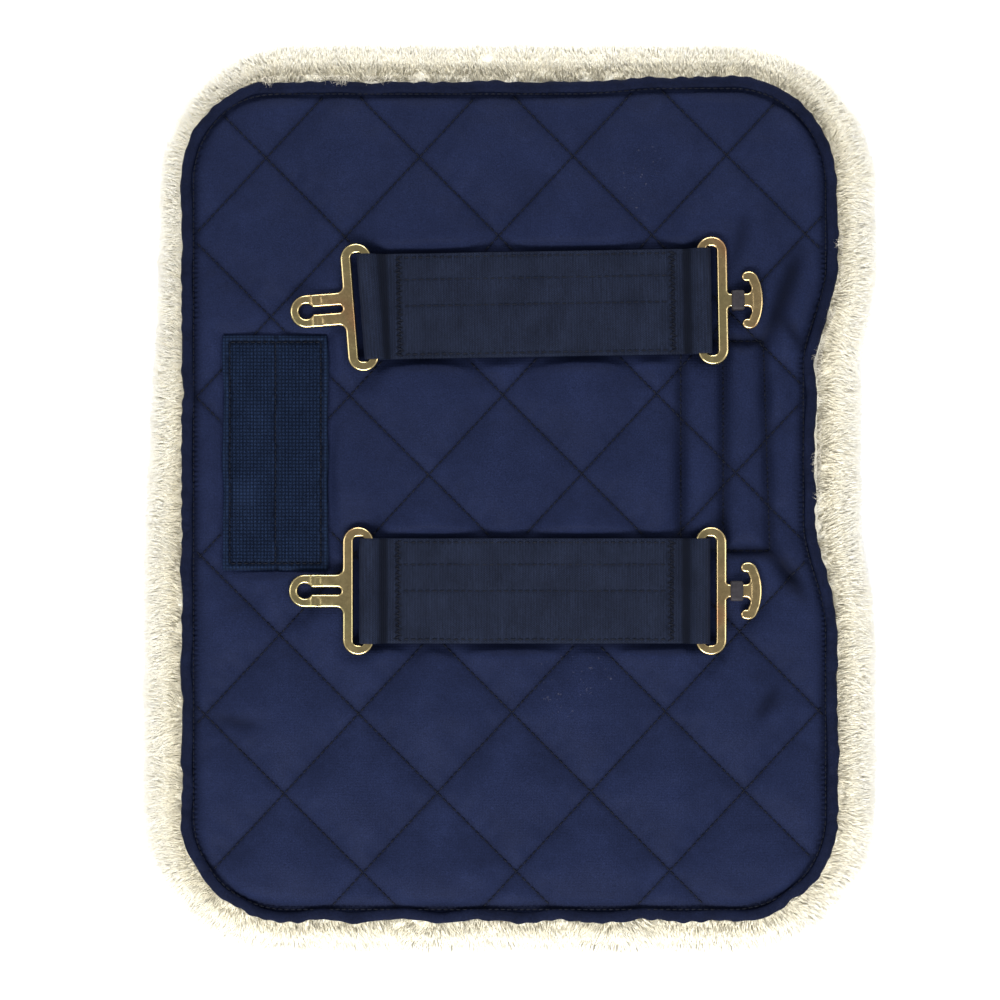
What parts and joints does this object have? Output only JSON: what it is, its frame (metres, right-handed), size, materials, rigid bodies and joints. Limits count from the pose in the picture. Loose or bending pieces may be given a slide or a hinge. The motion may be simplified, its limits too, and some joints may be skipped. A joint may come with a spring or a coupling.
{
  "type": "horse rug chest expander",
  "caption": "Quilted, fleece-lined chest expander panel for a horse rug, with webbing straps, keyhole plates, T-hooks and hook-and-loop tape.",
  "frame": {"origin": "middle of the pad's outline, on the surface that the fleece lies on", "axes": "+X along the straps from the keyhole plates to the T-hooks, +Y along the pad towards the upper strap, +Z out of the quilted face"},
  "size_m": [0.342, 0.4312, 0.033],
  "materials": {
    "navy_fabric": "matte",
    "navy_webbing": "matte",
    "navy_thread": "matte",
    "hook_tape": "matte",
    "white_filling": "matte",
    "cream_fleece": "matte",
    "antique_brass": "polished",
    "black_rubber": "matte"
  },
  "bodies": {
    "pad": {"quilted_face": "navy_fabric", "wadding": "white_filling", "lining_backing": "cream_fleece", "fleece_pile": "cream_fleece", "edge_binding": "navy_fabric", "front_hook_tape": "hook_tape", "reverse_loop_tape": "hook_tape", "upper_strap": "navy_webbing", "lower_strap": "navy_webbing", "upper_left_bartack": "navy_thread", "upper_right_bartack": "navy_thread", "lower_left_bartack": "navy_thread", "lower_right_bartack": "navy_thread"},
    "upper_left_web": {"upper_left_loop": "navy_webbing"},
    "upper_right_web": {"upper_right_loop": "navy_webbing"},
    "lower_left_web": {"lower_left_loop": "navy_webbing"},
    "lower_right_web": {"lower_right_loop": "navy_webbing"},
    "upper_keyhole": {"upper_keyhole_plate": "antique_brass"},
    "lower_keyhole": {"lower_keyhole_plate": "antique_brass"},
    "upper_hook": {"upper_t_hook": "antique_brass", "upper_rubber_stop": "black_rubber"},
    "lower_hook": {"lower_t_hook": "antique_brass", "lower_rubber_stop": "black_rubber"}
  },
  "joints": [
    {"name": "upper_left_web_lift", "type": "hinge", "parent": "pad", "child": "upper_left_web", "pos_m": [-0.05429, 0.09064, 0.0276], "axis": [-0.0175, 0.9998, 0], "range_deg": [0, 60]},
    {"name": "upper_right_web_lift", "type": "hinge", "parent": "pad", "child": "upper_right_web", "pos_m": [0.07909, 0.09296, 0.0276], "axis": [0.0175, -0.9998, 0], "range_deg": [0, 60]},
    {"name": "lower_left_web_lift", "type": "hinge", "parent": "pad", "child": "lower_left_web", "pos_m": [-0.0549, -0.0433, 0.0276], "axis": [0, 1, 0], "range_deg": [0, 60]},
    {"name": "lower_right_web_lift", "type": "hinge", "parent": "pad", "child": "lower_right_web", "pos_m": [0.0785, -0.0433, 0.0276], "axis": [0, -1, 0], "range_deg": [0, 60]},
    {"name": "upper_keyhole_swing", "type": "hinge", "parent": "upper_left_web", "child": "upper_keyhole", "pos_m": [-0.06569, 0.09044, 0.0286], "axis": [-0.0785, 0.9969, 0], "range_deg": [0, 120]},
    {"name": "upper_hook_swing", "type": "hinge", "parent": "upper_right_web", "child": "upper_hook", "pos_m": [0.09049, 0.09316, 0.0286], "axis": [0.0175, -0.9998, 0], "range_deg": [0, 120]},
    {"name": "lower_keyhole_swing", "type": "hinge", "parent": "lower_left_web", "child": "lower_keyhole", "pos_m": [-0.0663, -0.0433, 0.0286], "axis": [0, 1, 0], "range_deg": [0, 120]},
    {"name": "lower_hook_swing", "type": "hinge", "parent": "lower_right_web", "child": "lower_hook", "pos_m": [0.0899, -0.0433, 0.0286], "axis": [0, -1, 0], "range_deg": [0, 120]}
  ]
}
